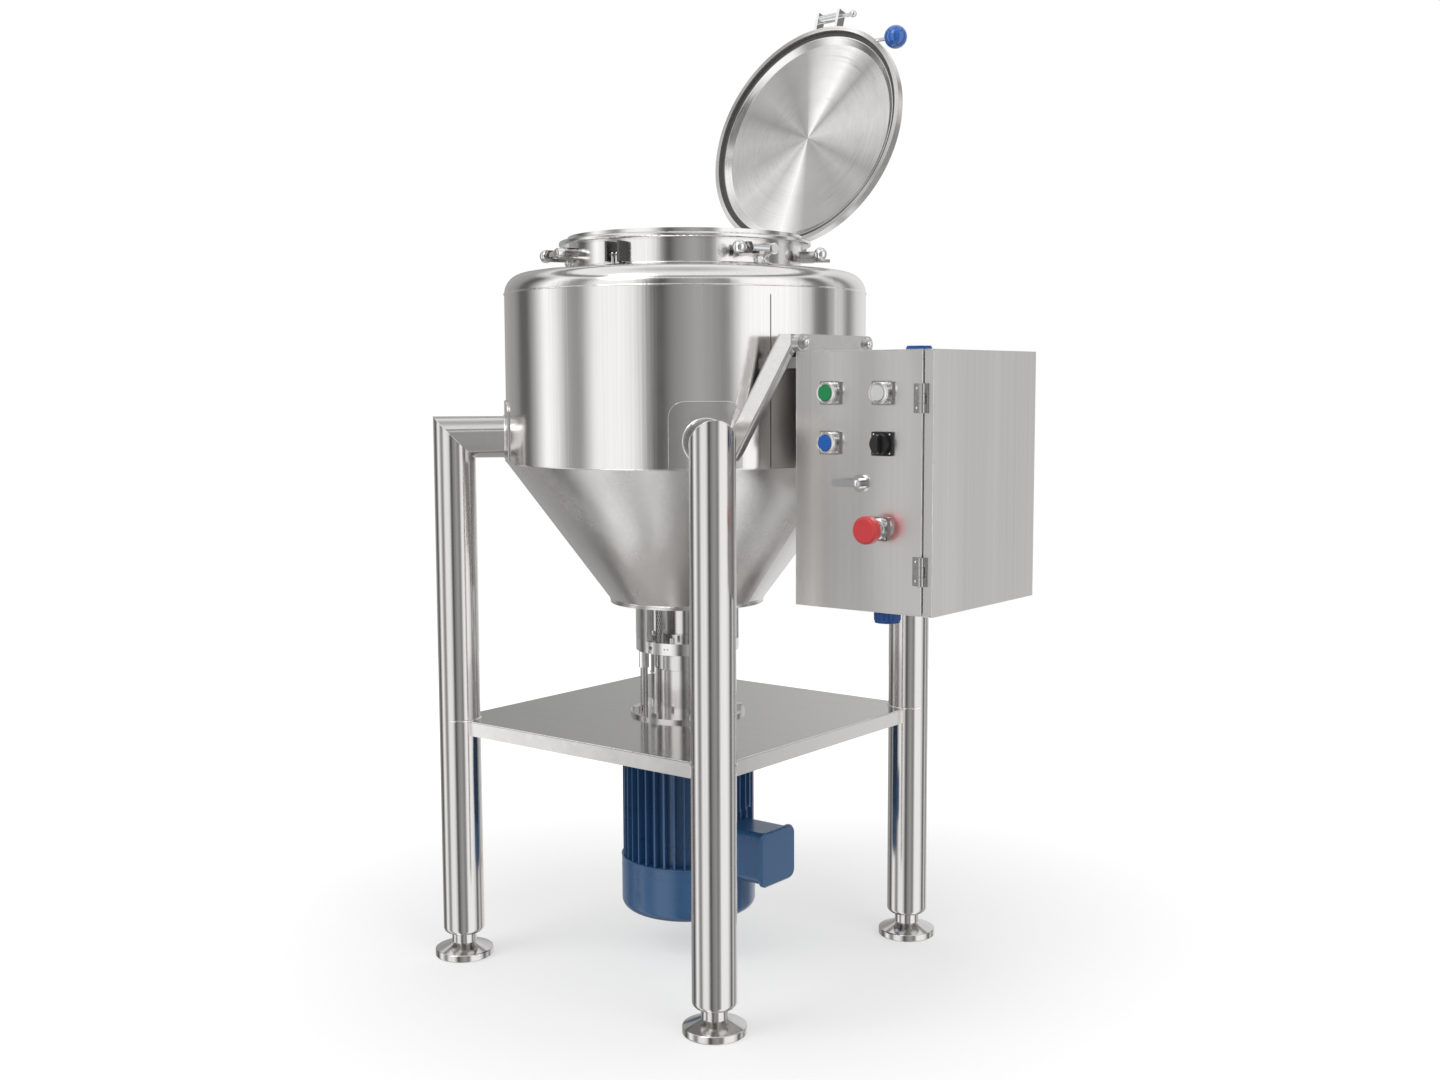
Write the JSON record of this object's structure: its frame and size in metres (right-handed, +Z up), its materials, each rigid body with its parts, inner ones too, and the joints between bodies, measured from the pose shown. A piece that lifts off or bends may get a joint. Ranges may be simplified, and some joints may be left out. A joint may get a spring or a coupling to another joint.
{
  "type": "industrial tank",
  "caption": "Upright stainless steel processing tank on tube legs, with a hinged manway lid, conical bottom, bottom motor drive on a shelf and a side control box.",
  "frame": {"origin": "on the floor under the vessel's axis, at the middle of the feet", "axes": "+Z up, -Y towards the side that the control box's door faces, +X towards the control box"},
  "size_m": [0.915, 0.7313, 1.6756],
  "materials": {
    "polished_steel": "polished stainless steel",
    "satin_steel": "satin stainless steel",
    "lid_steel": "circular brushed stainless steel",
    "bright_metal": "bright metal",
    "gasket": "matt elastomer",
    "motor_blue": "satin blue enamel",
    "blue_gloss": "glossy blue",
    "green_gloss": "glossy green",
    "white_gloss": "glossy white",
    "black_matte": "matt black",
    "red_gloss": "satin red"
  },
  "bodies": {
    "tank": {"vessel_shell": "polished_steel", "vessel_top_head": "polished_steel", "vessel_cone": "polished_steel", "cone_bottom_plate": "satin_steel", "manway_collar": "polished_steel", "manway_rim": "satin_steel", "legs": "satin_steel", "leg_arms": "satin_steel", "leg_pads": "satin_steel", "feet": "satin_steel", "shelf_top": "satin_steel", "shelf_edges": "satin_steel", "pedestal_flange": "satin_steel", "pedestal_bolts": "bright_metal", "bearing_housing": "polished_steel", "lantern_ring": "satin_steel", "lantern_pillars": "satin_steel", "seal_housing": "polished_steel", "flush_pipes": "satin_steel", "pipe_couplings": "bright_metal", "motor_flange": "motor_blue", "motor_body": "motor_blue", "motor_fan_cowl": "motor_blue", "terminal_box": "motor_blue", "terminal_box_lid": "motor_blue", "support_rail": "satin_steel", "support_struts": "satin_steel", "box_spacer": "satin_steel", "box_hanger": "satin_steel", "control_box": "satin_steel", "box_plugs": "blue_gloss", "box_hinge_leaves": "bright_metal", "lid_bracket": "satin_steel", "clamp_lugs": "satin_steel", "lid_catch": "satin_steel"},
    "lid": {"lid": "lid_steel", "lid_gasket": "gasket", "lid_arms": "satin_steel", "lid_clasp": "bright_metal", "lid_knob_stem": "bright_metal", "lid_knob": "blue_gloss"},
    "door": {"control_door": "satin_steel", "door_seal": "gasket", "door_hinge_leaves": "bright_metal", "button_housings": "bright_metal", "selector_plate": "black_matte", "latch_rose": "bright_metal"},
    "push_green": {"button_green": "green_gloss"},
    "push_white": {"button_white": "white_gloss"},
    "push_blue": {"button_blue": "blue_gloss"},
    "selector": {"selector_knob": "black_matte"},
    "emergency_stop": {"emergency_button": "red_gloss"},
    "door_latch": {"latch_lever": "bright_metal"},
    "bolt_1": {"swing_bolt_1": "bright_metal"},
    "bolt_2": {"swing_bolt_2": "bright_metal"},
    "bolt_3": {"swing_bolt_3": "bright_metal"},
    "bolt_4": {"swing_bolt_4": "bright_metal"},
    "bolt_5": {"swing_bolt_5": "bright_metal"}
  },
  "joints": [
    {"name": "lid_hinge", "type": "hinge", "parent": "tank", "child": "lid", "pos_m": [0.01726, 0.23677, 1.2185], "axis": [0.9974, -0.0727, 0], "range_deg": [0, 106.6]},
    {"name": "door_hinge", "type": "hinge", "parent": "tank", "child": "door", "pos_m": [0.5685, -0.1648, 0.8455], "axis": [0, 0, 1], "range_deg": [0, 110]},
    {"name": "green_button_push", "type": "slide", "parent": "door", "child": "push_green", "axis": [0, 1, 0], "range_m": [0, 0.003], "stiffness_N_per_m": 300},
    {"name": "white_button_push", "type": "slide", "parent": "door", "child": "push_white", "axis": [0, 1, 0], "range_m": [0, 0.003], "stiffness_N_per_m": 300},
    {"name": "blue_button_push", "type": "slide", "parent": "door", "child": "push_blue", "axis": [0, 1, 0], "range_m": [0, 0.003], "stiffness_N_per_m": 300},
    {"name": "selector_turn", "type": "hinge", "parent": "door", "child": "selector", "pos_m": [0.501, -0.17, 0.9015], "axis": [0, -1, 0], "range_deg": [-45, 45]},
    {"name": "emergency_push", "type": "slide", "parent": "door", "child": "emergency_stop", "axis": [0, 1, 0], "range_m": [0, 0.004]},
    {"name": "latch_turn", "type": "hinge", "parent": "door", "child": "door_latch", "pos_m": [0.463, -0.168, 0.843], "axis": [0, -1, 0], "range_deg": [0, 90]},
    {"name": "bolt_1_swing", "type": "hinge", "parent": "tank", "child": "bolt_1", "pos_m": [-0.09801, -0.20364, 1.203], "axis": [0.4337, 0.9011, 0], "range_deg": [0, 90]},
    {"name": "bolt_2_swing", "type": "hinge", "parent": "tank", "child": "bolt_2", "pos_m": [0.2203, -0.05045, 1.203], "axis": [-0.9748, 0.2233, 0], "range_deg": [0, 90]},
    {"name": "bolt_3_swing", "type": "hinge", "parent": "tank", "child": "bolt_3", "pos_m": [0.17662, 0.141, 1.203], "axis": [-0.7815, -0.6239, 0], "range_deg": [0, 90]},
    {"name": "bolt_4_swing", "type": "hinge", "parent": "tank", "child": "bolt_4", "pos_m": [-0.17662, 0.141, 1.203], "axis": [0.7815, -0.6239, 0], "range_deg": [0, 90]},
    {"name": "bolt_5_swing", "type": "hinge", "parent": "tank", "child": "bolt_5", "pos_m": [-0.22038, -0.05007, 1.203], "axis": [0.9751, 0.2215, 0], "range_deg": [0, 90]}
  ]
}
